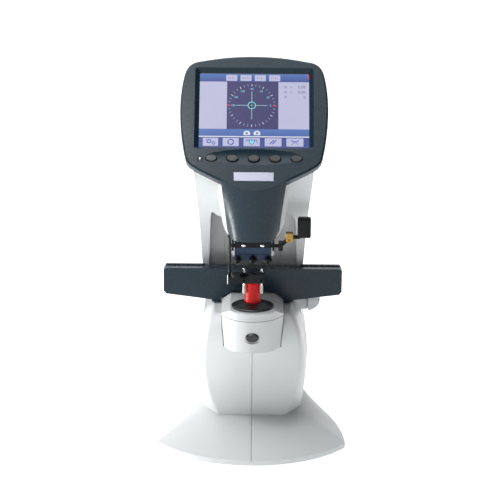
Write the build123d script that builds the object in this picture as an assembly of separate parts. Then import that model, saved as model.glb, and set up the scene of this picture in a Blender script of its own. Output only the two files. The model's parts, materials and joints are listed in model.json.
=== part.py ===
"""Automatic lensmeter: a bench instrument that measures spectacle lenses.

Frame: +Z up, the operator stands at -Y, +X is the operator's right.
The origin is on the table top, under the centre of the instrument.
All lengths are millimetres.
"""

from build123d import *
import math
import os

# --------------------------------------------------------------------------
# Driving dimensions
# --------------------------------------------------------------------------
WALL = 3.0                  # housing wall
THIN = 2.5                  # wall of the smaller mouldings
SEAM = 0.2                  # half of the gap between the two housing halves

# foot
FOOT_FRONT = -118.0
FOOT_REAR = 118.0
FOOT_TIP = (100.5, -62.0)   # widest point of the foot, x and y
FOOT_UNDER = 1.2            # air under the rim
FOOT_RIM = 6.6              # top of the vertical rim
FOOT_TOP = 28.0             # where the foot meets the body
PLATE_Z = 1.9               # underside of the steel base plate
PLATE_T = 2.0

# measuring axis, and what stands on it
AXIS_Y = -43.0
NOSE_BOTTOM = 111.0
NOSE_HALF = 33.0            # at the seam under the deck
NOSE_DRAFT = 0.09           # widening of each side per mm of height
NOSE_GAP = 0.8              # gap between the nose and the housing's opening
DECK_SEAM = 143.2
DECK_TOP = 152.3
CONE_R = 22.4
NOZZLE_TIP = 180.0

# head: the sloping face of the display, and the neck below it
TILT = 39.0                 # display face, degrees back from vertical
FACE_Y, FACE_Z = -76.0, 286.4
BEZEL_DEPTH = 9.0
BEZEL_PLATE = 4.0
NECK_BOTTOM = 229.5
PARTING_Y = -44.0           # where the dark neck meets the white optics housing

# column
BELLY_TOP = 141.0
COLUMN_FRONT = 26.0
COLUMN_REAR = 109.0
NICHE_BACK = 46.0
NICHE_FLOOR = 150.0
FLANGE_X = 39.0             # inner face of the chassis side plates

INLET_X = -25.0             # middle of the mains inlet at the back
ROCKER_AXIS = (104.0, 72.0)

# lens table and its rack and sector
TABLE_FRONT = 6.0
TABLE_REAR = 22.0
TABLE_TOP = 180.0
TABLE_HALF = 96.5
ROD_X, ROD_Z, ROD_R = 18.0, 166.0, 4.0
MODULE = 1.5
SECTOR_TEETH = 30           # teeth of the full wheel the sector is cut from
SECTOR_R = MODULE * SECTOR_TEETH / 2
RACK_X = (29.0, 35.0)
RACK_Z = 152.5              # pitch line of the rack
SHAFT_Y = 60.0
SHAFT_Z = RACK_Z - SECTOR_R
BACKLASH = 0.35
RUN = 0.05                  # radial clearance of a shaft in its bore
LEVER_X = 60.8              # inner face of the table lever

# lens holder
HOLDER_ROD = (-24.5, -46.0)
PIN_X, PIN_Y = 9.2, -48.3
PIN_R = 1.2

# marker
MARK_Y, MARK_Z = -29.0, 215.5
PEN_PITCH = 16.5
PEN_DROP = 14.0             # pens below the marker shaft
PEN_REACH = 32.5            # pen tips behind the marker shaft

# buttons
SCREEN_BUTTONS = [-44.3, -22.2, 0.0, 22.2, 44.3]
BUTTON_S = 37.5             # height of the button row up the display face
READ_Z = 127.0

FACE = Plane(
    origin=(0, FACE_Y, FACE_Z),
    x_dir=(1, 0, 0),
    z_dir=(0, -math.cos(math.radians(TILT)), math.sin(math.radians(TILT))),
)
AXIS = Pos(0, AXIS_Y, 0)


# --------------------------------------------------------------------------
# Small helpers
# --------------------------------------------------------------------------
def box(x, y, z):
    """A box from three (low, high) pairs."""
    size = [high - low for low, high in (x, y, z)]
    centre = [(low + high) / 2 for low, high in (x, y, z)]
    return Pos(*centre) * Box(*size)


def rod(start, end, radius):
    """A round bar between two points."""
    path = Vector(*end) - Vector(*start)
    plane = Plane(origin=start, z_dir=path)
    return extrude(plane * Circle(radius), path.length)


def turned(radius, low, high):
    """A cylinder on the measuring axis."""
    return Pos(0, AXIS_Y, (low + high) / 2) * Cylinder(radius, high - low)


def face_point(s, depth=0.0):
    """The y and z of a point s up the display face and depth behind it."""
    spot = FACE.from_local_coords((0, s, -depth))
    return spot.Y, spot.Z


def face_prism(sketch, depth_from, depth_to):
    """A sketch on the display face, extruded between two depths behind it."""
    plane = Plane(origin=FACE.origin - FACE.z_dir * depth_to, x_dir=FACE.x_dir, z_dir=FACE.z_dir)
    return extrude(plane * sketch, depth_to - depth_from)


def mirrored(points):
    """Points at x > 0 followed by their reflections, as one closed run."""
    return points + [(-x, y) for x, y in reversed(points) if x > 0]


def seen_from_front(points, y_low, y_high):
    """A closed (x, z) outline extruded along y."""
    sketch = make_face(Polyline(*points, close=True))
    plane = Plane(origin=(0, y_high, 0), x_dir=(1, 0, 0), z_dir=(0, -1, 0))
    return extrude(plane * sketch, y_high - y_low)


def seen_from_side(points, x_low, x_high):
    """A closed (y, z) outline extruded along x."""
    sketch = make_face(Polyline(*points, close=True))
    plane = Plane(origin=(x_low, 0, 0), x_dir=(0, 1, 0), z_dir=(1, 0, 0))
    return extrude(plane * sketch, x_high - x_low)


# --------------------------------------------------------------------------
# White housing: outer form, cavity, and the two halves
# --------------------------------------------------------------------------
# half width of the column and head against height
SIDE = [(4, 54.0), (28, 56.2), (56, 59.4), (80, 60.5), (106, 57.9), (127, 53.0), (141, 51.6),
        (176, 54.2), (230, 58.0), (284, 61.3), (330, 63.0), (372, 61.0), (412, 52.0)]
# belly sections: height, half width and y of the crease, y of the crown, half width of the flank
BELLY = [(20, 34.0, -27.0, -29.5, 54.4), (28, 37.5, -30.0, -33.5, 55.6), (56, 47.0, -38.0, -44.0, 58.9),
         (80, 51.0, -43.0, -51.0, 60.0), (106, 51.0, -46.0, -55.0, 57.4), (127, 46.5, -44.0, -53.0, 51.9),
         (136, 42.5, -38.0, -46.5, 47.2), (BELLY_TOP, 38.0, -29.0, -37.0, 42.0)]
FLANK_Y = 24.0
# side view of the column: back, and the underside of the head down to the column's front
REAR_LINE = [(COLUMN_REAR - 6, 4), (COLUMN_REAR, 80), (COLUMN_REAR - 3, 180), (COLUMN_REAR - 9, 270),
             (COLUMN_REAR - 24, 340), (COLUMN_REAR - 52, 388)]
UNDER_LINE = [(-24, 268), (3, 242), (20, 219), (COLUMN_FRONT, 190)]


def pushed_left(points, distance):
    """An open run of points moved sideways, to the left of its direction of travel."""
    moved = []
    for i, (x, y) in enumerate(points):
        x0, y0 = points[max(i - 1, 0)]
        x1, y1 = points[min(i + 1, len(points) - 1)]
        length = math.hypot(x1 - x0, y1 - y0)
        moved.append((x - distance * (y1 - y0) / length, y + distance * (x1 - x0) / length))
    return moved


def fan(tip, front, side, rear_corner, rear, corner=7.0):
    """A plan outline with a round front, long curved sides and a round back."""
    tip_x, tip_y = tip
    side_x, side_y = side
    corner_x, corner_y = rear_corner
    front_arc = ThreePointArc((-tip_x, tip_y), (0, front), (tip_x, tip_y))
    right = ThreePointArc((tip_x, tip_y), (side_x, side_y), (corner_x, corner_y))
    back = ThreePointArc((corner_x, corner_y), (0, rear), (-corner_x, corner_y))
    left = ThreePointArc((-corner_x, corner_y), (-side_x, side_y), (-tip_x, tip_y))
    outline = make_face(Wire([front_arc, right, back, left]))
    outline = fillet(outline.vertices().filter_by(lambda v: v.Y < 0), corner)
    return fillet(outline.vertices().filter_by(lambda v: v.Y > 60), 18.0)


def foot_fan(inset=0.0):
    """Plan of the foot's rim."""
    tip_x, tip_y = FOOT_TIP
    return fan((tip_x - inset, tip_y + inset * 0.3), FOOT_FRONT + inset, (92.7 - inset, -2.0),
               (58.7 - inset, 85.0 - inset * 0.5), FOOT_REAR - inset)


def body_fan(inset=0.0):
    """Plan of the foot's top, just inside the body."""
    return fan((48.0 - inset, -14.0 + inset), -27.0 + inset, (55.5 - inset, 30.0),
               (50.0 - inset, 88.0 - inset), 103.0 - inset, 26.0)


def foot_form(inset=0.0):
    """The foot: a low rim, then straight slopes up to the body."""
    low = FOOT_UNDER - (2.0 if inset else 0.0)
    rim = Pos(0, 0, low) * foot_fan(inset)
    rim_top = FOOT_RIM - inset
    slopes = loft([Pos(0, 0, rim_top) * foot_fan(inset), Pos(0, 0, FOOT_TOP - inset) * body_fan(inset)],
                  ruled=True)
    return extrude(rim, rim_top - low) + slopes


def belly_section(height, crease, crease_y, crown_y, flank, inset=0.0):
    """Horizontal section of the lower body: crowned front, soft creases, flanks running back."""
    crease, flank = crease - inset, flank - inset
    crease_y, crown_y = crease_y + inset, crown_y + inset
    rear = 60.0
    front = ThreePointArc((-crease, crease_y), (0, crown_y), (crease, crease_y))
    spread = (flank - crease) * 0.75
    middle = (crease_y + FLANK_Y) / 2 - 6
    right = Spline((crease, crease_y), (crease + spread, middle), (flank, FLANK_Y),
                   tangents=[(0.75, 1.0), (0, 1)])
    left = Spline((-flank, FLANK_Y), (-crease - spread, middle), (-crease, crease_y),
                  tangents=[(0, -1), (0.75, -1.0)])
    back = Polyline((flank, FLANK_Y), (flank, rear), (-flank, rear), (-flank, FLANK_Y))
    section = make_face(Wire([front, right, *back.edges(), left]))
    section = fillet(section.vertices().filter_by(lambda v: v.Y < -5), 7.0)
    return Pos(0, 0, height) * section


def belly_form(inset=0.0):
    """The lower body in front of the column."""
    rows = [list(row) for row in BELLY]
    rows[0][0] -= inset * 2
    rows[-1][0] -= inset
    rows[-2][0] -= inset * 0.6
    return loft([belly_section(*row, inset) for row in rows])


def spine_form(inset=0.0):
    """Column and back of the head: a front outline crossed with a side outline."""
    low, high = SIDE[0][0] - inset, 412.0
    right = Spline(*[(w - inset, z if z > 4 else low) for z, w in SIDE])
    left = Spline(*[(-w + inset, z if z > 4 else low) for z, w in reversed(SIDE)])
    last, first = SIDE[-1][1] - inset, SIDE[0][1] - inset
    front_view = make_face(Wire([right, Line((last, high), (-last, high)), left,
                                 Line((-first, low), (first, low))]))
    front_view = extrude(Plane.XZ * front_view, amount=150, both=True)

    top = face_point(151.0 - inset, BEZEL_DEPTH + inset)
    chin = face_point(26.0 + inset, BEZEL_DEPTH + inset)
    rear = [(REAR_LINE[0][0] - inset, low)] + pushed_left(REAR_LINE, inset)[1:] + [top]
    under = [chin] + pushed_left(UNDER_LINE, inset)
    shin = (under[-1][0], low)
    side_view = make_face(Wire([
        Spline(*rear), Line(top, chin), Spline(*under, tangents=[(0.55, -1.0), (0, -1)]),
        Line(under[-1], shin), Line(shin, rear[0]),
    ]))
    side_view = extrude(Plane.YZ * side_view, amount=90, both=True)
    form = front_view & side_view
    corners = form.edges().filter_by(lambda e: e.center().Y > 60 and abs(e.center().X) > 30 and e.length > 80)
    return fillet(corners, 20.0 - inset)


def niche_outline(grow=0.0):
    """The arch cut into the front of the column."""
    foot, spring, top = NICHE_FLOOR - grow, 228.0, 246.0 + grow
    half, upper = 49.0 + grow, 46.0 + grow
    shoulder = (40.0 + grow, 241.0 + grow * 0.7)
    arch = Spline((upper, spring), shoulder, (0, top), (-shoulder[0], shoulder[1]), (-upper, spring),
                  tangents=[(0, 1), (0, -1)])
    sides = Polyline((-upper, spring), (-half, foot), (half, foot), (upper, spring))
    return make_face(Wire([arch, *sides.edges()]))


def niche_form(grow, front, back):
    """The arch as a solid between two y positions."""
    plane = Plane(origin=(0, back, 0), x_dir=(1, 0, 0), z_dir=(0, -1, 0))
    return extrude(plane * niche_outline(grow), back - front)


def head_opening():
    """The hole in the front of the head, behind the display."""
    return face_prism(Pos(0, 96) * Rectangle(106, 96), BEZEL_DEPTH - 2, BEZEL_DEPTH + 8)


def power_cutout():
    """The hole for the mains inlet in the back of the left half."""
    return box((INLET_X - 17.2, INLET_X + 17.2), (90, 130), (30.8, 87.2))


def lever_boss():
    """Half-moon boss on the right side of the column; the lever's paddle rests beside it."""
    plane = Plane(origin=(56, 38, 141.5), x_dir=(1, 0, 0), z_dir=(0, -1, 0))
    boss = extrude(plane * Ellipse(17.5, 12.8), 11.8)
    return boss & box((50.8, LEVER_X - 0.5), (20, 60), (120, 141.5))


def housing_halves(outer, column_cavity):
    """The two halves of the white housing."""
    cavity = column_cavity + belly_form(WALL) + foot_form(WALL)
    shell = outer - cavity
    shell -= nose_block(NOSE_BOTTOM - 0.6, 160, NOSE_GAP, COLUMN_FRONT)
    shell -= niche_form(0.0, -30, NICHE_BACK)
    shell -= head_opening()
    shell -= box((-30, 30), (-60, 20), (215, 330)) & seen_from_side(
        [(-60, 225), (16, 225), (16, 285), (-60, 330)], -30, 30)
    halves = []
    for side in (-1, 1):
        low, high = sorted((side * SEAM, side * 130))
        halves.append(shell & box((low, high), (-130, 130), (-5, 420)))
    left, right = halves
    left -= power_cutout()
    right += lever_boss()
    right -= rod((40, SHAFT_Y, SHAFT_Z), (80, SHAFT_Y, SHAFT_Z), 5.5)
    return left, right


# --------------------------------------------------------------------------
# Foot: base plate, rubber feet; inner frame
# --------------------------------------------------------------------------
FOOT_SPOTS = [(-76, -56), (76, -56), (-40, 78), (40, 78)]


def base_plate():
    """The steel plate that closes the foot from below."""
    plate = extrude(Pos(0, 0, PLATE_Z) * foot_fan(WALL + 1.5), PLATE_T)
    slots = [Pos(0, y, PLATE_Z) * SlotOverall(36, 4) for y in (-20, -10, 0, 10)]
    for slot in slots:
        plate -= extrude(slot, PLATE_T)
    return plate


def rubber_foot(x, y):
    """One soft foot under the base plate."""
    return Pos(x, y, PLATE_Z / 2) * Cylinder(9, PLATE_Z)


def chassis():
    """Folded steel frame: two side plates, a back web and the arm that holds the head optics."""
    floor = PLATE_Z + PLATE_T
    frame = box((-FLANGE_X - 3, FLANGE_X + 3), (92, 95), (floor, 268))
    frame -= box((-37, 37), (91, 96), (149, 177))
    frame -= box((-26, 26), (91, 96), (200, 250))
    for side in (-1, 1):
        low, high = sorted((side * FLANGE_X, side * (FLANGE_X + 3)))
        frame += box((low, high), (50, 92), (floor, 268))
        frame += box((low - 5, high + 5), (50, 70), (floor, floor + 3))
    frame += box((-22, 22), (-58, 92), (258, 262))
    frame -= turned(11.0, 250, 270)
    return frame - rod((-50, SHAFT_Y, SHAFT_Z), (50, SHAFT_Y, SHAFT_Z), ROD_R + RUN)


def power_supply():
    """Closed supply unit standing on the base plate."""
    floor = PLATE_Z + PLATE_T
    return box((-30, 30), (-12, 48), (floor, 48)) - box((-20, 20), (-12, -10), (15, 40))


# --------------------------------------------------------------------------
# Nose: the housing of the lower optics
# --------------------------------------------------------------------------
def nose_plan(half, front, crease_y, side_y, grow=0.0, rear=COLUMN_FRONT - 0.5):
    """Plan of the nose: bowed front between two creases, straight sides."""
    half, crease = half + grow, 22.6 + grow * 0.4
    bow = ThreePointArc((-crease, crease_y - grow), (0, front - grow), (crease, crease_y - grow))
    sides = Polyline((crease, crease_y - grow), (half, side_y), (half, rear), (-half, rear),
                     (-half, side_y), (-crease, crease_y - grow))
    return make_face(Wire([bow, *sides.edges()]))


def nose_block(low, high, grow=0.0, rear=COLUMN_FRONT - 0.5):
    """The nose between two heights; as it rises its front leans back and it widens."""
    def at(z):
        lean = (z - NOSE_BOTTOM) * 0.19
        half = NOSE_HALF + (z - DECK_SEAM) * NOSE_DRAFT
        return Pos(0, 0, z) * nose_plan(half, -77 + lean, -67.5 + lean, -52 + lean, grow, rear)
    return loft([at(low), at(high)], ruled=True)


def oval(length, height, y_front, y_back, z):
    """An oval prism along y, centred on x = 0."""
    plane = Plane(origin=(0, y_back, z), x_dir=(1, 0, 0), z_dir=(0, -1, 0))
    return extrude(plane * Ellipse(length / 2, height / 2), y_back - y_front)


def nose_housing():
    """Lower nose moulding with the hole for the read button."""
    top = DECK_SEAM
    body = nose_block(NOSE_BOTTOM, top)
    body -= nose_block(NOSE_BOTTOM + THIN, top + 1, -THIN, 30)
    body -= oval(19, 13, -80, -73.2, READ_Z)
    body -= oval(14.4, 9.9, -80, -60, READ_Z)
    return body - box((-12, 12), (-30, 0), (NOSE_BOTTOM - 1, NOSE_BOTTOM + THIN + 1))


def nose_deck():
    """Upper nose moulding: the lip at the front and the deck under the table."""
    low = DECK_SEAM + 0.5
    deck = nose_block(low, DECK_TOP)
    half = NOSE_HALF + 1
    profile = mirrored([(half, low - 1), (half, 145.0), (23.5, DECK_TOP)])
    deck &= seen_from_front(profile, -90, 40)
    deck += nose_block(DECK_TOP - 4.6, DECK_TOP - 0.8, 0.8) & box((-22.6, 22.6), (-90, -50), (140, 160))
    hollow = nose_block(low - 1, DECK_TOP - THIN, -THIN, COLUMN_FRONT - 3)
    inside = mirrored([(half - 4, low - 2), (half - 4, 143.9), (22.5, DECK_TOP - THIN)])
    deck -= hollow & seen_from_front(inside, -90, 40)
    rim = nose_block(low - 2, low + 1.5, -THIN, COLUMN_FRONT - 3)
    rim -= nose_block(low - 3, low + 2, -THIN - 1.5, 20)
    return deck + rim - turned(10.0, 130, 160)


def nose_cone():
    """Black cone that carries the nozzle."""
    rim, top = CONE_R - 0.8, DECK_TOP + 6.0
    profile = Polyline((8.8, DECK_TOP), (rim, DECK_TOP), (CONE_R, DECK_TOP + 0.5), (CONE_R, DECK_TOP + 1.7),
                       (rim, DECK_TOP + 2.4), (12.2, top - 0.4), (11.4, top), (9.6, top), (8.8, top - 0.4),
                       close=True)
    return AXIS * revolve(Plane.XZ * make_face(profile), Axis.Z)


def nozzle():
    """Red tube; the spectacle lens rests on its tip."""
    base = DECK_TOP + 7.4
    profile = Polyline((5.0, DECK_TOP), (8.8, DECK_TOP), (8.8, base), (8.3, base + 0.6), (8.3, base + 1.2),
                       (8.5, base + 1.6), (7.8, NOZZLE_TIP - 1.2), (7.0, NOZZLE_TIP), (5.0, NOZZLE_TIP),
                       close=True)
    return AXIS * revolve(Plane.XZ * make_face(profile), Axis.Z)


def window_glass():
    """Glass that keeps dust out of the lower optics."""
    return turned(5.0, 172.0, 173.5)


def lower_barrel():
    """Tube of the lower optics, hung in the deck."""
    tube = turned(10.0, 117.0, DECK_TOP - 0.1) - turned(8.0, 110, 160)
    tube += turned(12.5, 146.3, DECK_TOP - THIN) - turned(8.0, 110, 160)
    return tube


def objective_lens():
    """Biconvex lens in the lower barrel."""
    arc = Polyline((0, 137.0), (8.0, 138.5), (8.0, 141.5), (0, 143.0), close=True)
    return AXIS * revolve(Plane.XZ * make_face(arc), Axis.Z)


def sensor_board():
    """Circuit board with the image sensor under the lower barrel."""
    board = box((-17, 17), (AXIS_Y - 17, AXIS_Y + 17), (115.4, 117.0))
    board += box((-5, 5), (AXIS_Y - 5, AXIS_Y + 5), (117.0, 118.5))
    floor = NOSE_BOTTOM + THIN
    for x in (-13, 13):
        board += Pos(x, AXIS_Y + 13, (floor + 115.4) / 2) * Cylinder(2, 115.4 - floor)
    return board


def read_button():
    """Oval button in the nose that stores a reading."""
    button = oval(13.8, 9.3, -74.9, -69.0, READ_Z)
    button = chamfer(button.edges().group_by(Axis.Y)[0], 0.9)
    return button + oval(17.0, 12.4, -69.5, -68.3, READ_Z)


# --------------------------------------------------------------------------
# Column: niche liner, ink pad, mains inlet
# --------------------------------------------------------------------------
def column_panel(cavity):
    """White tray that lines the niche, open at the bottom for the table's rods and rack."""
    tray = niche_form(THIN, COLUMN_FRONT - 15, NICHE_BACK)
    tray -= niche_form(0.0, COLUMN_FRONT - 40, NICHE_BACK - THIN)
    tray &= cavity
    tray -= box((-37, 37), (40, 50), (NICHE_FLOOR, 172.5))
    tray -= box((27, 37), (35, 50), (NICHE_FLOOR - 5, NICHE_FLOOR + 1))
    for x in (-31, 31):
        tray -= box((x - 0.3, x + 0.3), (NICHE_BACK - THIN - 1, NICHE_BACK - THIN + 0.8), (178.0, 206.0))
    return tray - box((-31.3, 31.3), (NICHE_BACK - THIN - 1, NICHE_BACK - THIN + 0.8), (205.4, 206.0))


def ink_pad():
    """Ink box for the marker pens, on a bracket from the niche."""
    pad = box((-22, 22), (4.2, 13), (195, 208))
    pad += box((-23, 23), (13, 15), (194, 209))
    pad += box((-8, 8), (15, NICHE_BACK - THIN), (199, 203))
    return pad + box((-12, 12), (NICHE_BACK - THIN - 2, NICHE_BACK - THIN), (194, 204.8))


def power_entry():
    """Mains inlet with an opening for the switch."""
    x = INLET_X
    entry = box((x - 17, x + 17), (100, 110.8), (31, 87))
    entry += box((x - 14, x + 14), (95, 101), (34, 84))
    entry -= box((x - 11, x + 11), (98, 120), (37, 56))
    entry -= rod((x - 9.6, *ROCKER_AXIS), (x + 9.6, *ROCKER_AXIS), 1.5 + RUN)
    for pin in (x - 5.5, x, x + 5.5):
        entry += box((pin - 1, pin + 1), (97, 106), (44, 48))
    return entry - box((x - 8.2, x + 8.2), (96, 120), (60.8, 82.9))


def power_rocker():
    """Rocker of the mains switch."""
    rocker = seen_from_side([(98.5, 66.5), (98.5, 77.5), (107.0, 81.0), (111.0, 81.5), (110.0, 72.0),
                             (112.5, 62.5), (107.0, 63.0)], INLET_X - 7.7, INLET_X + 7.7)
    return rocker + rod((INLET_X - 9.4, *ROCKER_AXIS), (INLET_X + 9.4, *ROCKER_AXIS), 1.5)


# --------------------------------------------------------------------------
# Head: optics housing, neck and display
# --------------------------------------------------------------------------
# height, half width of the parting and half width of the optics housing
BUCKET = [(NECK_BOTTOM, 24.0, 26.2), (233, 25.6, 30.0), (239, 26.6, 32.4), (252, 28.2, 34.8),
          (270, 30.4, 37.6), (292, 33.4, 41.0), (330, 37.0, 46.0)]


def bucket_form(inset=0.0):
    """White housing of the upper optics: from the neck's edge it swells out and runs back."""
    sections = []
    for height, front, half in BUCKET:
        front, half, y = front - inset, half - inset, PARTING_Y
        cheek = front + (half - front) * 0.72
        right = Spline((front, y), (cheek, y + 7), (half, y + 22), tangents=[(1, 0.55), (0, 1)])
        left = Spline((-half, y + 22), (-cheek, y + 7), (-front, y), tangents=[(0, -1), (1, -0.55)])
        back = Polyline((half, y + 22), (half, 32), (-half, 32), (-half, y + 22))
        edges = [Line((-front, y), (front, y)), right, *back.edges(), left]
        sections.append(Pos(0, 0, height + (inset if height < 232 else 0)) * make_face(Wire(edges)))
    form = loft(sections, ruled=True)
    low = NECK_BOTTOM - 1 + inset
    side = [(PARTING_Y - 1, low), (-18, low), (4, 233 + inset), (17, 240 + inset), (32, 250 + inset),
            (32, 340), (PARTING_Y - 1, 340)]
    return form & seen_from_side(side, -60, 60)


def optics_housing(spine):
    """The white shell behind the neck."""
    shell = bucket_form() - bucket_form(THIN)
    shell -= seen_from_front(mirrored([(21.5, 233), (25, 262), (29, 296)]), PARTING_Y - 2, PARTING_Y + 6)
    shell -= spine + neck_ring()
    shell -= box((-60, 60), (-70, 40), (300.2, 340))
    return max(shell.solids(), key=lambda s: s.volume)


# right half of the display face, from the middle of the top round to the middle of the neck
BEZEL_RUN = [(0, 158), (28.7, 156.5), (55.8, 152), (70.0, 144.5), (74.8, 130), (77.6, 94), (74.4, 55),
             (71.4, 39), (70.0, 34.2), (66.6, 30), (57, 23.5), (34.5, 11.5), (24, 6.5), (12, 3.5), (0, 2.5)]


def bezel_outline(inset=0.0):
    """The display face: a rounded shield, wider than it is tall."""
    run = pushed_left(BEZEL_RUN, -inset)
    run[0], run[-1] = (0, run[0][1]), (0, BEZEL_RUN[-1][1] + inset)
    edges = []
    for side in (1, -1):
        points = [(side * x, y) for x, y in run]
        edges.append(Spline(*points[:3], tangents=[(side, 0), (side, -0.22)]))
        edges.append(Spline(*points[2:8]))
        edges += Polyline(*points[7:]).edges()
    return make_face(Wire(edges))


def bezel_plate():
    """The display face's slab with a rounded rim: (inset, depth) of each section from the face back."""
    rim = [(1.8, 0), (0.8, 0.4), (0.2, 1.1), (0, 2.2), (0, BEZEL_DEPTH)]
    return loft([FACE * Pos(0, 0, -depth) * bezel_outline(inset) for inset, depth in rim], ruled=True)


def neck_form(inset=0.0):
    """The neck under the display: a tapering bow-fronted column, cut by the display face."""
    def at(z, half, side_y, front):
        half, side_y, front = half - inset, side_y, front + inset
        bow = ThreePointArc((-half, side_y), (0, front), (half, side_y))
        back = Polyline((half, side_y), (half, PARTING_Y), (-half, PARTING_Y), (-half, side_y))
        return Pos(0, 0, z) * make_face(Wire([bow, *back.edges()]))
    neck = loft([at(NECK_BOTTOM - (inset and 2), 26.3, -50.0, -69.5), at(262, 29.9, -58.5, -73.0),
                 at(300, 34.8, -69.0, -77.6), at(318, 37.0, -74.0, -79.6)], ruled=True)
    return neck - face_prism(Pos(0, 60) * Rectangle(300, 300), -80, inset)


def neck_back(depth):
    """Everything in front of a plane parallel to the display."""
    return face_prism(Pos(0, 60) * Rectangle(300, 500), -100, depth)


def button_dish():
    """The long shallow hollow the buttons stand in, 1.1 mm deep in the middle."""
    across, along, depth = 9.0, 50.0, 1.1
    section = (across ** 2 + depth ** 2) / (2 * depth)
    sweep = (along ** 2 + depth ** 2) / (2 * depth)
    ring = FACE * Pos(0, 39.2, sweep - depth) * Rot(90, 0, 0) * Torus(sweep - section, section)
    return ring & face_prism(Pos(0, 39.2) * Rectangle(2 * along + 2, 2 * across + 1), -1, 2)


def front_cover(spine):
    """Dark moulding: display bezel, button strip and neck in one piece."""
    cover = bezel_plate() + (neck_form() & neck_back(BEZEL_DEPTH + 40))
    hollow = face_prism(bezel_outline(3.2), BEZEL_PLATE, BEZEL_DEPTH + 1)
    cover -= hollow
    cover -= neck_form(THIN) & box((-60, 60), (-90, PARTING_Y + 1), (200, 296))
    mouth = FACE.offset(0.01) * Pos(0, 96.3) * RectangleRounded(125, 95.4, 3)
    inner = FACE.offset(-BEZEL_PLATE - 0.01) * Pos(0, 95.5) * RectangleRounded(115.2, 87, 1.5)
    cover -= loft([mouth, inner], ruled=True)
    cover -= button_dish()
    for x in SCREEN_BUTTONS:
        cover -= face_prism(Pos(x, BUTTON_S) * Ellipse(6.4, 4.05), -3, BEZEL_PLATE + 1)
    cover -= face_prism(Pos(-55.8, BUTTON_S - 0.7) * Circle(2.9), -1, BEZEL_PLATE + 1)
    cover -= face_prism(Pos(0, 16.4) * Rectangle(41.6, 10.2), -1, 0.5)
    return cover - spine


def lcd_panel():
    """Display module behind the window."""
    return face_prism(Pos(0, 95.5) * Rectangle(120, 92), BEZEL_PLATE, BEZEL_DEPTH - 0.2)


def screen_button(x):
    """One oval key of the display."""
    key = face_prism(Pos(x, BUTTON_S) * Ellipse(6.1, 3.75), -1.4, BEZEL_PLATE + 1.2)
    key = chamfer(key.faces().sort_by(Axis((0, 0, 0), FACE.z_dir))[-1].edges(), 0.7)
    return key + face_prism(Pos(x, BUTTON_S) * Ellipse(7.4, 4.9), BEZEL_PLATE + 0.4, BEZEL_PLATE + 1.4)


def button_board():
    """Circuit board behind the keys."""
    return face_prism(Pos(-4, BUTTON_S) * Rectangle(118, 12), BEZEL_DEPTH - 1.6, BEZEL_DEPTH)


def nameplate():
    """Blank plate under the keys."""
    return face_prism(Pos(0, 16.4) * Rectangle(41.2, 9.8), -0.5, 0.5)


def main_board():
    """Controller board behind the display, on four posts."""
    board = face_prism(Pos(0, 96) * Rectangle(96, 80), 22, 23.6)
    board += face_prism(Pos(10, 100) * Rectangle(22, 22), 23.6, 26)
    for x in (-40, 40):
        for s in (64, 128):
            board += face_prism(Pos(x, s) * Circle(3), BEZEL_DEPTH - 0.2, 22)
    return board


def neck_ring():
    """Floor of the neck: light hole, holder guide and the two ears that carry the marker."""
    low, high = NECK_BOTTOM, NECK_BOTTOM + 2.5
    front = neck_form(THIN) & box((-60, 60), (-90, PARTING_Y), (low, high))
    back = extrude(Pos(0, -27.0, low) * Rectangle(38, -2 * (PARTING_Y + 27.0)), high - low)
    ring = front + back
    ring += box((-26.4, -19), (-49.5, -43), (low, high))
    for x in (-22.6, 20.4):
        ring += box((x, x + 2.2), (MARK_Y - 5, MARK_Y + 5), (MARK_Z - 4.5, high))
    ring += box((-22.6, 22.6), (MARK_Y - 5, MARK_Y + 5), (low - 0.8, high))
    ring -= turned(9.0, low - 5, high + 5)
    ring -= rod((-30, MARK_Y, MARK_Z), (30, MARK_Y, MARK_Z), 2.0 + RUN)
    x, y = HOLDER_ROD
    return ring - rod((x, y, low - 5), (x, y, high + 5), PIN_R + RUN)


def upper_barrel():
    """Tube of the light source."""
    return turned(11.0, NECK_BOTTOM + 2.5, 284) - turned(9.0, NECK_BOTTOM, 290)


def condenser_lens():
    """Plano-convex lens that makes the beam parallel."""
    profile = Polyline((0, 240.0), (9.0, 240.0), (9.0, 241.5), (5.0, 243.5), (0, 244.3), close=True)
    return AXIS * revolve(Plane.XZ * make_face(profile), Axis.Z)


def led_board():
    """Lamp board on top of the upper barrel."""
    return turned(13.0, 284, 285.6) + turned(2.5, 282, 284)


# --------------------------------------------------------------------------
# Lens table, rack and sector
# --------------------------------------------------------------------------
def frame_table():
    """The bar that both lower rims of a spectacle frame lean against."""
    front = mirrored([(8, 155.6), (25.0, 153.9), (33.8, 147.2), (34.0, 142.4), (43.5, 142.4), (44.5, 145.0),
                      (TABLE_HALF - 3, 151.2), (TABLE_HALF, 154.5), (TABLE_HALF, TABLE_TOP - 2),
                      (TABLE_HALF - 2, TABLE_TOP)])
    bar = seen_from_front(front, TABLE_FRONT, TABLE_REAR)
    for side in (-1, 1):
        low, high = sorted((side * 3, side * (TABLE_HALF - THIN)))
        bar -= box((low, high), (TABLE_FRONT + THIN, TABLE_REAR - THIN), (157.5, TABLE_TOP - THIN))
    for side in (-1, 1):
        low, high = sorted((side * 52, side * (TABLE_HALF - 2)))
        bar += box((low, high), (TABLE_REAR - 4, TABLE_REAR), (TABLE_TOP, TABLE_TOP + 1.2))
    return bar


def table_carriage():
    """Block behind the table that holds the two rods."""
    block = box((-36, 36), (TABLE_REAR, 37), (156.6, 175.5))
    for x in (-ROD_X, ROD_X):
        block -= rod((x, 26, ROD_Z), (x, 40, ROD_Z), ROD_R)
    return block


def table_rod(x):
    """Ground steel rod that slides in the guide block."""
    return chamfer(rod((x, 26, ROD_Z), (x, 98, ROD_Z), ROD_R).edges().group_by(Axis.Y)[-1], 0.6)


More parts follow.
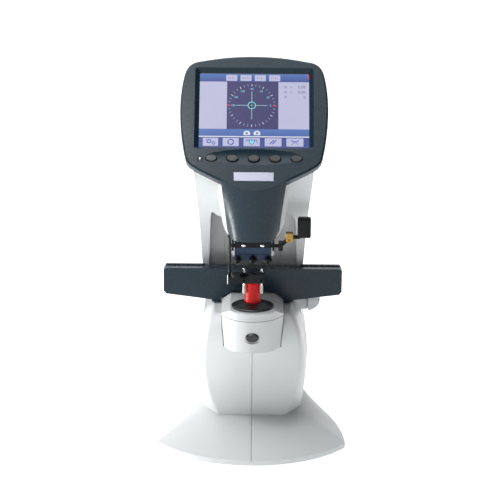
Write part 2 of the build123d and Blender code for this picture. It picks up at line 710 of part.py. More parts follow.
def slide_block():
    """Guide block between the side plates, bored for the table rods."""
    block = box((-FLANGE_X, FLANGE_X), (52, 78), (157.2, 175.5))
    for x in (-ROD_X, ROD_X):
        block -= rod((x, 50, ROD_Z), (x, 80, ROD_Z), ROD_R + RUN)
    return block


def table_rack():
    """Straight rack under the carriage; teeth point down."""
    root, tip = RACK_Z + 1.25 * MODULE, RACK_Z - 0.8 * MODULE
    bar = box(RACK_X, (TABLE_REAR + 0.5, 91), (root, 156.6))
    pitch = math.pi * MODULE
    slope = math.tan(math.radians(20))
    half = pitch / 4 - BACKLASH / 2
    for i in range(-1, 7):
        y = SHAFT_Y + i * pitch
        wide, narrow = half + (root - RACK_Z) * slope, half - (RACK_Z - tip) * slope
        tooth = [(y - wide, root), (y - narrow, tip), (y + narrow, tip), (y + wide, root)]
        bar += seen_from_side(tooth, *RACK_X)
    return bar


def involute(base, radius):
    """Polar angle of an involute at a radius."""
    roll = math.sqrt((radius / base) ** 2 - 1)
    return roll - math.atan(roll)


def sector_gear():
    """Toothed sector on the lever shaft, cut for the table's travel only."""
    base = SECTOR_R * math.cos(math.radians(20))
    root, tip = SECTOR_R - 1.25 * MODULE, SECTOR_R + 0.8 * MODULE
    step = 2 * math.pi / SECTOR_TEETH
    half = step / 4 - BACKLASH / 2 / SECTOR_R
    first, last = -6.5, 0.5
    profile = [(0.0, 0.0)]
    start = math.pi / 2 + (first - 0.7) * step
    profile.append((root * math.cos(start), root * math.sin(start)))
    count = round(last - first) + 1
    for i in range(count):
        middle = math.pi / 2 + (first + i) * step
        flank = []
        for radius in (max(root, base), (base + tip) / 2 + 0.4, tip):
            flank.append((radius, half + involute(base, SECTOR_R) - involute(base, max(radius, base))))
        gap = flank[0][1] * 1.05
        profile.append((root * math.cos(middle - gap), root * math.sin(middle - gap)))
        for radius, angle in flank:
            profile.append((radius * math.cos(middle - angle), radius * math.sin(middle - angle)))
        for radius, angle in reversed(flank):
            profile.append((radius * math.cos(middle + angle), radius * math.sin(middle + angle)))
        profile.append((root * math.cos(middle + gap), root * math.sin(middle + gap)))
    end = math.pi / 2 + (last + 0.7) * step
    profile.append((root * math.cos(end), root * math.sin(end)))
    wheel = seen_from_side([(SHAFT_Y + y, SHAFT_Z + z) for y, z in profile], *RACK_X)
    wheel += rod((RACK_X[0] - 3, SHAFT_Y, SHAFT_Z), (RACK_X[1] + 2, SHAFT_Y, SHAFT_Z), 8.0)
    return wheel - rod((20, SHAFT_Y, SHAFT_Z), (50, SHAFT_Y, SHAFT_Z), ROD_R)


def lever_shaft():
    """Shaft through both side plates and out of the right side."""
    return rod((-FLANGE_X - 6, SHAFT_Y, SHAFT_Z), (LEVER_X + 8, SHAFT_Y, SHAFT_Z), ROD_R)


def table_lever():
    """Paddle under the right end of the table; pressing it down brings the table forward."""
    hub = rod((LEVER_X, SHAFT_Y, SHAFT_Z), (LEVER_X + 10, SHAFT_Y, SHAFT_Z), 9.0)
    arm = seen_from_side([(SHAFT_Y, SHAFT_Z + 9), (SHAFT_Y, SHAFT_Z - 9), (34, 128.0), (24, 130),
                          (24, 141.5), (34, 141.5)], LEVER_X, LEVER_X + 6)
    plane = Plane(origin=(56, 32, 141.5), x_dir=(1, 0, 0), z_dir=(0, -1, 0))
    paddle = extrude(plane * Ellipse(17.5, 12.8), 13)
    paddle &= box((LEVER_X, 80), (0, 60), (120, 141.5))
    lever = hub + arm + paddle
    return lever - rod((50, SHAFT_Y, SHAFT_Z), (LEVER_X + 8, SHAFT_Y, SHAFT_Z), ROD_R)


# --------------------------------------------------------------------------
# Lens holder
# --------------------------------------------------------------------------
HOLDER_LOW, HOLDER_HIGH = 182.0, 188.5


def holder_rod():
    """Thin rod that guides the lens holder up and down."""
    x, y = HOLDER_ROD
    return rod((x, y, HOLDER_LOW), (x, y, 268), PIN_R)


def holder_block():
    """Bar that carries the two lens pins."""
    x, y = HOLDER_ROD
    block = box((-26, 12.5), (-58, -50), (HOLDER_LOW, HOLDER_HIGH))
    block += box((-4, 12.5), (-58, -50.5), (HOLDER_HIGH, 191.6))
    block += box((-26, -21.8), (-50, -42.5), (HOLDER_LOW, HOLDER_HIGH))
    for side in (-PIN_X, PIN_X):
        block += rod((side, PIN_Y, 180.5), (side, PIN_Y, 191.6), 3.0)
        block += box((side - 3, side + 3), (-51, PIN_Y), (HOLDER_LOW, 191.6))
    for side in (-PIN_X, PIN_X):
        block -= rod((side, PIN_Y, 170), (side, PIN_Y, 200), PIN_R + RUN)
    return block - rod((x, y, 170), (x, y, 200), PIN_R)


def holder_knob():
    """Flat round knob for lifting the holder."""
    return Pos(-17.5, -54, HOLDER_HIGH + 1.7) * Cylinder(6, 3.4)


def lens_pin(x):
    """Spring pin with a head that stops it on the block."""
    return rod((x, PIN_Y, 172), (x, PIN_Y, 195.7), PIN_R) + rod((x, PIN_Y, 192.0), (x, PIN_Y, 192.8), 1.9)


def pin_tip(x):
    """Ribbed soft tip that presses on the lens."""
    tip = rod((x, PIN_Y, 168.5), (x, PIN_Y, 177.3), 1.5)
    for z in (169.6, 171.6, 173.6, 175.6):
        tip += rod((x, PIN_Y, z), (x, PIN_Y, z + 1.2), 1.85)
    return tip - rod((x, PIN_Y, 172), (x, PIN_Y, 180), PIN_R)


# --------------------------------------------------------------------------
# Marker
# --------------------------------------------------------------------------
def marker_shaft():
    """Cross shaft the marker swings on."""
    return rod((-23.4, MARK_Y, MARK_Z), (31.5, MARK_Y, MARK_Z), 2.0)


def marker_block():
    """Block on the shaft that carries the three pens."""
    block = box((-19.5, 19.5), (MARK_Y - 4, MARK_Y + 8.5), (MARK_Z - 15, MARK_Z + 4.5))
    block -= box((-15.5, 15.5), (MARK_Y - 5, MARK_Y - 3.2), (MARK_Z - 9, MARK_Z - 5))
    block -= box((-1.8, 1.8), (MARK_Y - 5, MARK_Y - 3.2), (MARK_Z - 9, MARK_Z))
    for i in (-1, 0, 1):
        block -= rod((i * PEN_PITCH, -60, MARK_Z - PEN_DROP), (i * PEN_PITCH, 0, MARK_Z - PEN_DROP), 2.6)
    for x in (-9.8, 9.8):
        block -= rod((x, MARK_Y - 6, MARK_Z + 1.5), (x, MARK_Y - 3.0, MARK_Z + 1.5), 1.5)
    return block - rod((-30, MARK_Y, MARK_Z), (30, MARK_Y, MARK_Z), 2.0)


def marker_pen(i):
    """Pen: round cap, barrel in the block and a slender tip."""
    x, z = i * PEN_PITCH, MARK_Z - PEN_DROP
    pen = Pos(x, MARK_Y - 7.0, z) * Sphere(3.9)
    pen += rod((x, MARK_Y - 7.0, z), (x, MARK_Y + 14, z), 2.6)
    profile = Polyline((0, 0), (1.9, 0), (1.1, 12), (0.6, PEN_REACH - 14), (0, PEN_REACH - 14), close=True)
    plane = Plane(origin=(x, MARK_Y + 14, z), x_dir=(1, 0, 0), z_dir=(0, 1, 0))
    cone = revolve(Plane.XZ * make_face(profile), Axis.Z)
    return pen + plane.location * cone


def marker_lever():
    """Cranked lever on the shaft's right end, with the knob the operator pushes."""
    crank = box((27.0, 31.5), (MARK_Y - 4.5, MARK_Y + 4.5), (MARK_Z - 4.5, MARK_Z + 4.5))
    crank += seen_from_front([(29.5, MARK_Z + 2), (31.5, MARK_Z), (40.5, MARK_Z + 8), (40.5, MARK_Z + 11),
                              (37, MARK_Z + 11)], MARK_Y - 2, MARK_Y + 2)
    crank += rod((36, MARK_Y, MARK_Z + 9.8), (50, MARK_Y, MARK_Z + 9.8), 2.0)
    knob = Pos(54, MARK_Y, MARK_Z + 20.5) * Box(14, 10, 22)
    crank += fillet(knob.edges(), 2.0)
    return crank - rod((20, MARK_Y, MARK_Z), (40, MARK_Y, MARK_Z), 2.0)


def marker_clamp(lever):
    """Brass block that clamps the lever's arm."""
    clamp = box((34.7, 42.2), (MARK_Y - 4.5, MARK_Y + 4.5), (MARK_Z + 5.2, MARK_Z + 14.4))
    clamp -= box((34, 43), (MARK_Y - 1, MARK_Y + 1), (MARK_Z + 12.5, MARK_Z + 16))
    clamp -= rod((38.4, MARK_Y - 5, MARK_Z + 8), (38.4, MARK_Y - 3, MARK_Z + 8), 1.2)
    return clamp - lever


# --------------------------------------------------------------------------
# Build and write every part
# --------------------------------------------------------------------------
def build():
    """Every node by name."""
    spine = spine_form()
    cavity = spine_form(WALL)
    outer = spine + belly_form() + foot_form()
    parts = {}
    parts["left_housing"], parts["right_housing"] = housing_halves(outer, cavity)
    parts["base_plate"] = base_plate()
    for i, (x, y) in enumerate(FOOT_SPOTS, 1):
        parts[f"rubber_foot_{i}"] = rubber_foot(x, y)
    parts["chassis"] = chassis()
    parts["power_supply"] = power_supply()
    parts["nose_housing"] = nose_housing()
    parts["nose_deck"] = nose_deck()
    parts["nose_cone"] = nose_cone()
    parts["nozzle"] = nozzle()
    parts["window_glass"] = window_glass()
    parts["lower_barrel"] = lower_barrel()
    parts["objective_lens"] = objective_lens()
    parts["sensor_board"] = sensor_board()
    parts["read_button"] = read_button()
    parts["column_panel"] = column_panel(cavity)
    parts["ink_pad"] = ink_pad()
    parts["power_entry"] = power_entry()
    parts["power_rocker"] = power_rocker()
    parts["optics_housing"] = optics_housing(spine)
    parts["front_cover"] = front_cover(spine)
    parts["lcd_panel"] = lcd_panel()
    for i, x in enumerate(SCREEN_BUTTONS, 1):
        parts[f"screen_button_{i}"] = screen_button(x)
    parts["button_board"] = button_board()
    parts["nameplate"] = nameplate()
    parts["main_board"] = main_board()
    parts["neck_ring"] = neck_ring()
    parts["upper_barrel"] = upper_barrel()
    parts["condenser_lens"] = condenser_lens()
    parts["led_board"] = led_board()
    parts["frame_table"] = frame_table()
    parts["table_carriage"] = table_carriage()
    parts["table_rod_left"] = table_rod(-ROD_X)
    parts["table_rod_right"] = table_rod(ROD_X)
    parts["slide_block"] = slide_block()
    parts["table_rack"] = table_rack()
    parts["sector_gear"] = sector_gear()
    parts["lever_shaft"] = lever_shaft()
    parts["table_lever"] = table_lever()
    parts["holder_rod"] = holder_rod()
    parts["holder_block"] = holder_block()
    parts["holder_knob"] = holder_knob()
    for side, x in (("left", -PIN_X), ("right", PIN_X)):
        parts[f"lens_pin_{side}"] = lens_pin(x)
        parts[f"pin_tip_{side}"] = pin_tip(x)
    parts["marker_shaft"] = marker_shaft()
    parts["marker_block"] = marker_block()
    for i in (-1, 0, 1):
        parts[f"marker_pen_{i + 2}"] = marker_pen(i)
    parts["marker_lever"] = marker_lever()
    parts["marker_clamp"] = marker_clamp(parts["marker_lever"])
    return parts


if __name__ == "__main__":
    os.makedirs("parts", exist_ok=True)
    for name, shape in build().items():
        export_step(shape, f"parts/{name}.step")
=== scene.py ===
"""Lensmeter: materials, small fittings, display picture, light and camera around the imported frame."""
import json
import math

import bmesh
import bpy
from mathutils import Matrix, Vector


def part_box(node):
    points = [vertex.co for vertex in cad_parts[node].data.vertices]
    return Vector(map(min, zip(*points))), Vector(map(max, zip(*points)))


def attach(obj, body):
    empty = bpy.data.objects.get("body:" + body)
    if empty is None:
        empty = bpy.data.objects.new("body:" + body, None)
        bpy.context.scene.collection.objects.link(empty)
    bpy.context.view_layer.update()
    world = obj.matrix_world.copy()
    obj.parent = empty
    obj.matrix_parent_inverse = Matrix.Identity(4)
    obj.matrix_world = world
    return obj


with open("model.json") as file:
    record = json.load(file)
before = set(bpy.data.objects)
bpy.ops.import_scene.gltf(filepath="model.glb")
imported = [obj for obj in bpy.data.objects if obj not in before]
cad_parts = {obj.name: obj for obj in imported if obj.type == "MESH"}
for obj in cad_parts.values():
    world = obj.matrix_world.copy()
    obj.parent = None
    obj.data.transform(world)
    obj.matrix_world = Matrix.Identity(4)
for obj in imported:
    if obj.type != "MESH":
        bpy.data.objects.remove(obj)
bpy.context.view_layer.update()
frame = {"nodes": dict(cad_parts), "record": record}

MM = 0.001
NODES = frame["nodes"]
SCENE = bpy.context.scene


# --------------------------------------------------------------------------
# Colours and materials
# --------------------------------------------------------------------------
def srgb(red, green, blue):
    """Linear colour of an 8-bit sRGB one."""
    linear = []
    for value in (red, green, blue):
        c = value / 255
        linear.append(c / 12.92 if c <= 0.04045 else ((c + 0.055) / 1.055) ** 2.4)
    return (*linear, 1.0)


def shade(colour, factor):
    """A lighter or darker version of a linear colour."""
    return (*[min(1.0, c * factor) for c in colour[:3]], 1.0)


class Graph:
    """A material's node tree with short calls for the nodes used here."""

    def __init__(self, name):
        self.material = bpy.data.materials.new(name)
        self.material.use_nodes = True
        self.tree = self.material.node_tree
        self.bsdf = self.tree.nodes["Principled BSDF"]

    def add(self, kind, **settings):
        node = self.tree.nodes.new(kind)
        for key, value in settings.items():
            setattr(node, key, value)
        return node

    def link(self, source, target):
        self.tree.links.new(source, target)

    def place(self, stretch=(1, 1, 1)):
        """Coordinates in the row frame, in metres, stretched."""
        coord = self.add("ShaderNodeTexCoord")
        mapping = self.add("ShaderNodeMapping")
        mapping.inputs["Scale"].default_value = stretch
        self.link(coord.outputs["Object"], mapping.inputs["Vector"])
        return mapping.outputs["Vector"]

    def noise(self, where, scale, detail=3.0, distortion=0.0):
        node = self.add("ShaderNodeTexNoise")
        node.inputs["Scale"].default_value = scale
        node.inputs["Detail"].default_value = detail
        node.inputs["Distortion"].default_value = distortion
        self.link(where, node.inputs["Vector"])
        return node.outputs["Fac"]

    def mapped(self, value, low, high, to_low, to_high):
        node = self.add("ShaderNodeMapRange")
        limits = {"From Min": low, "From Max": high, "To Min": to_low, "To Max": to_high}
        for socket, number in limits.items():
            node.inputs[socket].default_value = number
        self.link(value, node.inputs["Value"])
        return node.outputs["Result"]

    def mixed(self, factor, first, second):
        """A colour between two others; each is a colour or a socket."""
        node = self.add("ShaderNodeMix", data_type="RGBA")
        self.link(factor, node.inputs["Factor"])
        for socket, value in zip((node.inputs[6], node.inputs[7]), (first, second)):
            if isinstance(value, tuple):
                socket.default_value = value
            else:
                self.link(value, socket)
        return node.outputs[2]

    def rounded_normal(self, radius):
        node = self.add("ShaderNodeBevel", samples=4)
        node.inputs["Radius"].default_value = radius
        return node.outputs["Normal"]

    def bump(self, height, strength, distance, normal):
        node = self.add("ShaderNodeBump")
        node.inputs["Strength"].default_value = strength
        node.inputs["Distance"].default_value = distance
        self.link(height, node.inputs["Height"])
        self.link(normal, node.inputs["Normal"])
        return node.outputs["Normal"]

    def edge_mask(self, radius, gain):
        """1 along sharp edges and 0 on open faces."""
        geometry = self.add("ShaderNodeNewGeometry")
        dot = self.add("ShaderNodeVectorMath", operation="DOT_PRODUCT")
        self.link(self.rounded_normal(radius), dot.inputs[0])
        self.link(geometry.outputs["Normal"], dot.inputs[1])
        return self.mapped(dot.outputs["Value"], 1.0, 1.0 - 1.0 / gain, 0.0, 1.0)


def finish(name, colour, rough, grain, spread=0.05, edge=1.12, bevel=0.4, stretch=(1, 1, 1), **constants):
    """A moulded, painted or machined surface: grain bump, uneven gloss, mottled colour, and sharp edges made
    lighter, partly as wear and partly as a painted highlight.

    rough is (lowest, highest) roughness; grain is (scale per metre, bump distance in mm, strength);
    edge is how much lighter sharp edges are; bevel is the rounding in mm that edges are shaded with."""
    g = Graph(name)
    where = g.place(stretch)
    broad = g.noise(where, 22.0, 4.0)
    fine = g.noise(where, grain[0], 3.0)
    smear = g.noise(where, 140.0, 3.0, 0.6)
    body = g.mixed(broad, shade(colour, 1 - spread), shade(colour, 1 + spread))
    speckled = g.mixed(g.mapped(fine, 0.62, 0.82, 0.0, 0.35), body, shade(colour, 1 - 2 * spread))
    # Sharp edges get a lighter colour: partly edge wear, partly a painted highlight of edges catching light.
    edge_wear_and_highlight = g.mixed(g.edge_mask(bevel * MM, 6.0), speckled, shade(colour, edge))
    g.link(edge_wear_and_highlight, g.bsdf.inputs["Base Color"])
    g.link(g.mapped(smear, 0.3, 0.7, rough[0], rough[1]), g.bsdf.inputs["Roughness"])
    normal = g.bump(fine, grain[2], grain[1] * MM, g.rounded_normal(bevel * MM))
    g.link(normal, g.bsdf.inputs["Normal"])
    for socket, value in constants.items():
        g.bsdf.inputs[socket.replace("_", " ")].default_value = value
    return g.material


def pixels(name, colour, glow, top=None, span=None):
    """Lit colour of the display, with the pixel grid and slightly uneven backlight; top is a second colour
    reached over the height span in metres."""
    g = Graph(name)
    where = g.place()
    rows = g.add("ShaderNodeTexWave", wave_type="BANDS", bands_direction="X")
    rows.inputs["Scale"].default_value = 900.0
    g.link(where, rows.inputs["Vector"])
    uneven = g.noise(where, 30.0, 2.0)
    base = g.mixed(uneven, shade(colour, 0.94), shade(colour, 1.06))
    if top is not None:
        split = g.add("ShaderNodeSeparateXYZ")
        g.link(where, split.inputs[0])
        base = g.mixed(g.mapped(split.outputs["Z"], span[0], span[1], 0.0, 1.0), base, top)
    lit = g.mixed(g.mapped(rows.outputs["Fac"], 0.0, 1.0, 0.0, 0.12), base, shade(colour, 0.7))
    g.bsdf.inputs["Base Color"].default_value = (0.02, 0.02, 0.03, 1.0)
    g.link(lit, g.bsdf.inputs["Emission Color"])
    g.bsdf.inputs["Emission Strength"].default_value = glow
    g.bsdf.inputs["Specular IOR Level"].default_value = 0.2
    g.bsdf.inputs["Coat Weight"].default_value = 0.12
    g.bsdf.inputs["Coat Roughness"].default_value = 0.1
    g.link(g.mapped(g.noise(where, 60.0), 0.3, 0.7, 0.32, 0.4), g.bsdf.inputs["Roughness"])
    return g.material


def make_finishes():
    """One material for each slot of the record."""
    moulded = (1400.0, 0.03, 0.25)
    smooth = (900.0, 0.01, 0.12)
    metal = (2600.0, 0.01, 0.2)
    return {
        "white_shell": finish("white_shell", srgb(216, 219, 220), (0.32, 0.42), moulded, 0.015, 1.04, 0.5,
                              Coat_Weight=0.1, Coat_Roughness=0.25),
        "slate_shell": finish("slate_shell", srgb(20, 43, 55), (0.22, 0.3), (1800.0, 0.03, 0.3), 0.06, 1.8,
                              0.6, Specular_IOR_Level=0.32),
        "black_gloss": finish("black_gloss", srgb(14, 23, 27), (0.3, 0.4), smooth, 0.1, 1.8, 0.4,
                              Coat_Weight=0.3, Coat_Roughness=0.18),
        "black_matte": finish("black_matte", srgb(13, 17, 20), (0.38, 0.5), moulded, 0.1, 2.4, 0.35,
                              Specular_IOR_Level=0.25),
        "red_nozzle": finish("red_nozzle", srgb(214, 16, 16), (0.36, 0.46), smooth, 0.05, 1.15, 0.3,
                             Specular_IOR_Level=0.3),
        "white_tip": finish("white_tip", srgb(226, 222, 214), (0.45, 0.6), moulded, 0.04, 1.05, 0.2),
        "navy_block": finish("navy_block", srgb(22, 54, 86), (0.3, 0.42), (2400.0, 0.03, 0.3), 0.08, 1.8,
                             0.3, Metallic=0.2),
        "ink_box": finish("ink_box", srgb(216, 220, 218), (0.42, 0.55), moulded, 0.03, 1.04, 0.3),
        "black_steel": finish("black_steel", srgb(13, 15, 17), (0.28, 0.4), metal, 0.12, 3.0, 0.25,
                              Metallic=0.2, Specular_IOR_Level=0.3),
        "bright_pin": finish("bright_pin", srgb(226, 227, 226), (0.08, 0.16), metal, 0.04, 1.05, 0.2,
                             Metallic=1.0),
        "turned_steel": finish("turned_steel", srgb(182, 184, 186), (0.2, 0.34), metal, 0.06, 1.15, 0.2,
                               (1, 1, 8), Metallic=1.0),
        "guide_aluminium": finish("guide_aluminium", srgb(190, 192, 196), (0.3, 0.45), metal, 0.06, 1.1,
                                  0.3, (8, 1, 1), Metallic=1.0),
        "plated_frame": finish("plated_frame", srgb(184, 186, 182), (0.3, 0.46), (700.0, 0.02, 0.25), 0.08,
                               1.1, 0.4, Metallic=1.0),
        "clamp_brass": finish("clamp_brass", srgb(160, 128, 66), (0.22, 0.36), metal, 0.1, 1.2, 0.3,
                              Metallic=1.0),
        "foot_rubber": finish("foot_rubber", srgb(40, 40, 42), (0.6, 0.78), (1200.0, 0.06, 0.5), 0.12, 1.4,
                              0.4),
        "optical_glass": finish("optical_glass", srgb(224, 236, 242), (0.0, 0.02), (300.0, 0.001, 0.02),
                                0.02, 1.0, 0.2, Transmission_Weight=1.0, Coat_Weight=0.4),
        "display": finish("display", srgb(18, 20, 28), (0.08, 0.14), smooth, 0.1, 1.3, 0.3,
                          Coat_Weight=1.0),
        "circuit_board": finish("circuit_board", srgb(24, 92, 52), (0.3, 0.5), (500.0, 0.05, 0.5), 0.2,
                                1.5, 0.3),
        "silver_plate": finish("silver_plate", srgb(170, 172, 188), (0.3, 0.4), (5200.0, 0.004, 0.12),
                               0.015, 1.05, 0.3, (1, 5, 5), Metallic=0.6),
    }


# --------------------------------------------------------------------------
# Mesh building
# --------------------------------------------------------------------------
def piece(name, mesh, materials, body):
    """A finished piece that rides on a body."""
    obj = bpy.data.objects.new(name, mesh)
    SCENE.collection.objects.link(obj)
    for material in materials:
        obj.data.materials.append(material)
    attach(obj, body)
    return obj


def lathe(name, profile, axis_point, axis, sides=48):
    """Solid of revolution; profile is (radius, height) in metres from the foot to the top, along axis."""
    bm = bmesh.new()
    rings = []
    for radius, height in profile:
        if radius < 1e-7:
            rings.append([bm.verts.new((0, 0, height))])
            continue
        ring = []
        for i in range(sides):
            a = 2 * math.pi * i / sides
            ring.append(bm.verts.new((radius * math.cos(a), radius * math.sin(a), height)))
        rings.append(ring)
    for low, high in zip(rings, rings[1:]):
        for i in range(sides):
            j = (i + 1) % sides
            if len(low) == 1:
                bm.faces.new((low[0], high[j], high[i]))
            elif len(high) == 1:
                bm.faces.new((low[i], low[j], high[0]))
            else:
                bm.faces.new((low[i], low[j], high[j], high[i]))
    if len(rings[0]) > 1:
        bm.faces.new(list(reversed(rings[0])))
    if len(rings[-1]) > 1:
        bm.faces.new(rings[-1])
    turn = Vector(axis).to_track_quat("Z", "Y").to_matrix().to_4x4()
    bm.transform(Matrix.Translation(axis_point) @ turn)
    bmesh.ops.recalc_face_normals(bm, faces=bm.faces)
    mesh = bpy.data.meshes.new(name)
    bm.to_mesh(mesh)
    bm.free()
    for face in mesh.polygons:
        face.use_smooth = True
    return mesh


def soften(obj, width, segments=2, angle=35):
    """Rounded edges from a bevel modifier."""
    bevel = obj.modifiers.new("soften", "BEVEL")
    bevel.width = width
    bevel.segments = segments
    bevel.limit_method = "ANGLE"
    bevel.angle_limit = math.radians(angle)
    return obj


def slab(name, outline, thickness, matrix):
    """Closed plate of that outline (x, y points in metres), thickness along +Z, then moved by matrix."""
    bm = bmesh.new()
    low = [bm.verts.new((x, y, 0)) for x, y in outline]
    high = [bm.verts.new((x, y, thickness)) for x, y in outline]
    bm.faces.new(list(reversed(low)))
    bm.faces.new(high)
    for i in range(len(outline)):
        j = (i + 1) % len(outline)
        bm.faces.new((low[i], low[j], high[j], high[i]))
    bm.transform(matrix)
    bmesh.ops.recalc_face_normals(bm, faces=bm.faces)
    mesh = bpy.data.meshes.new(name)
    bm.to_mesh(mesh)
    bm.free()
    return mesh


# --------------------------------------------------------------------------
# Display plane
# --------------------------------------------------------------------------
TILT = math.radians(39)
FACE_UP = Vector((0, math.sin(TILT), math.cos(TILT)))
FACE_OUT = Vector((0, -math.cos(TILT), math.sin(TILT)))
FACE_RIGHT = Vector((1, 0, 0))
SCREEN_W, SCREEN_H = 115.2 * MM, 86.4 * MM
PANEL_HALF = 2.4 * MM           # half the display's thickness
PANEL_UP, PANEL_BACK = 95.5 * MM, 6.4 * MM    # the display's middle: up the face and behind it


def face_frame(origin):
    """Matrix with X to the right, Y up the face and Z out of it."""
    turn = Matrix((FACE_RIGHT, FACE_UP, FACE_OUT)).transposed().to_4x4()
    return Matrix.Translation(origin) @ turn


panel_low, panel_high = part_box("lcd_panel")
panel_middle = (panel_low + panel_high) / 2
SCREEN = face_frame(panel_middle + FACE_OUT * PANEL_HALF)
FACE = face_frame(panel_middle - FACE_UP * PANEL_UP + FACE_OUT * PANEL_BACK)


class Picture:
    """Flat shapes in thin layers on the display; at() takes shares of the active area, from the top left."""

    LAYER = 0.03 * MM

    def __init__(self):
        self.points, self.faces, self.inks = [], [], []

    def at(self, across, down):
        return (across - 0.5) * SCREEN_W, (0.5 - down) * SCREEN_H

    def polygon(self, outline, layer, ink):
        start = len(self.points)
        height = self.LAYER * (layer + 1)
        self.points += [(x, y, height) for x, y in outline]
        self.faces.append(tuple(range(start, start + len(outline))))
        self.inks.append(ink)

    def rectangle(self, left, top, right, bottom, layer, ink, corner=0.0):
        x0, y1 = self.at(left, top)
        x1, y0 = self.at(right, bottom)
        if corner == 0:
            outline = [(x0, y0), (x1, y0), (x1, y1), (x0, y1)]
        else:
            outline = []
            for cx, cy, turn in ((x1 - corner, y0 + corner, 270), (x1 - corner, y1 - corner, 0),
                                 (x0 + corner, y1 - corner, 90), (x0 + corner, y0 + corner, 180)):
                for step in range(5):
                    a = math.radians(turn + 22.5 * step)
                    outline.append((cx + corner * math.cos(a), cy + corner * math.sin(a)))
        self.polygon(outline, layer, ink)

    def stroke(self, start, end, width, layer, ink):
        """A straight line between two points in metres."""
        a, b = Vector(start), Vector(end)
        side = (b - a).normalized().orthogonal() * (width / 2)
        self.polygon([tuple(a + side), tuple(a - side), tuple(b - side), tuple(b + side)], layer, ink)

    def path(self, points, width, layer, ink):
        for start, end in zip(points, points[1:]):
            self.stroke(start, end, width, layer, ink)

    def disc(self, centre, radius, layer, ink, sides=32):
        self.polygon(circle(centre, radius, 0, 360, sides)[:-1], layer, ink)

    def ring(self, centre, radius, width, layer, ink, start=0, end=360, sides=32):
        outer = circle(centre, radius + width / 2, start, end, sides)
        inner = circle(centre, radius - width / 2, start, end, sides)
        for i in range(sides):
            self.polygon([inner[i], outer[i], outer[i + 1], inner[i + 1]], layer, ink)

    def number(self, text, centre, height, layer, ink, align="CENTER"):
        """Digits and signs from Blender's own font."""
        curve = bpy.data.curves.new("digits", "FONT")
        curve.body = text
        curve.size = height * 1.38
        curve.align_x = align
        curve.resolution_u = 3
        holder = bpy.data.objects.new("digits", curve)
        mesh = bpy.data.meshes.new_from_object(holder)
        for face in mesh.polygons:
            outline = [mesh.vertices[v].co for v in face.vertices]
            self.polygon([(centre[0] + p.x, centre[1] - height / 2 + p.y) for p in outline], layer, ink)
        bpy.data.objects.remove(holder)
        bpy.data.curves.remove(curve)
        bpy.data.meshes.remove(mesh)

    def mesh(self, name):
        made = bpy.data.meshes.new(name)
        made.from_pydata([SCREEN @ Vector(p) for p in self.points], [], self.faces)
        made.polygons.foreach_set("material_index", self.inks)
        made.update()
        return made


def circle(centre, radius, start, end, sides):
    """Points in metres round part of a circle, both ends included."""
    points = []
    for i in range(sides + 1):
        a = math.radians(start + (end - start) * i / sides)
        points.append((centre[0] + radius * math.cos(a), centre[1] + radius * math.sin(a)))
    return points


INKS = ["royal", "bar", "pale", "indigo", "cyan", "white", "red", "grey", "icon", "black", "line"]
ROYAL, BAR, PALE, INDIGO, CYAN, WHITE, RED, GREY, ICON, BLACK, LINE = range(len(INKS))


def make_inks():
    """Materials of the display picture, in the order of INKS."""
    top_high = (SCREEN @ Vector((0, SCREEN_H / 2, 0))).z
    top_low = (SCREEN @ Vector((0, SCREEN_H * 0.394, 0))).z
    mid_high = (SCREEN @ Vector((0, -SCREEN_H * 0.254, 0))).z
    mid_low = (SCREEN @ Vector((0, -SCREEN_H * 0.35, 0))).z
    glow = 0.96
    return [
        pixels("ink_royal", srgb(50, 70, 144), glow, srgb(70, 116, 184), (top_low, top_high)),
        pixels("ink_bar", srgb(62, 96, 164), glow, srgb(76, 114, 184), (mid_low, mid_high)),
        pixels("ink_pale", srgb(186, 188, 218), glow),
        pixels("ink_indigo", srgb(46, 42, 98), glow),
        pixels("ink_cyan", srgb(120, 226, 244), glow),
        pixels("ink_white", srgb(222, 226, 240), glow),
        pixels("ink_red", srgb(232, 44, 56), glow),
        pixels("ink_grey", srgb(92, 92, 120), glow),
        pixels("ink_icon", srgb(34, 84, 170), glow),
        pixels("ink_black", srgb(20, 24, 36), glow),
        pixels("ink_line", srgb(128, 164, 178), glow),
    ]


def draw_background(pic):
    """Bars and panels of the measuring screen."""
    pic.rectangle(0, 0, 1, 1, 0, INDIGO)
    pic.rectangle(0, 0, 1, 0.106, 1, ROYAL)
    pic.rectangle(0.99, 0, 1, 0.07, 2, RED)
    for left in (0.240, 0.371, 0.502, 0.634):
        pic.rectangle(left, 0.014, left + 0.102, 0.097, 2, PALE, 0.8 * MM)
        x, y = pic.at(left + 0.051, 0.056)
        for i in range(4):
            dx = (i - 1.5) * 2.0 * MM
            pic.stroke((x + dx, y - 1.1 * MM), (x + dx, y + 1.1 * MM - (i % 2) * MM), 0.5 * MM, 3, GREY)
    pic.rectangle(0, 0.108, 0.25, 0.754, 1, PALE)
    pic.rectangle(0.72, 0.108, 1, 0.754, 1, PALE)
    pic.rectangle(0, 0.756, 1, 0.85, 1, BAR)
    pic.rectangle(0, 0.85, 1, 0.864, 1, WHITE)
    pic.rectangle(0, 0.866, 1, 1, 1, ROYAL)


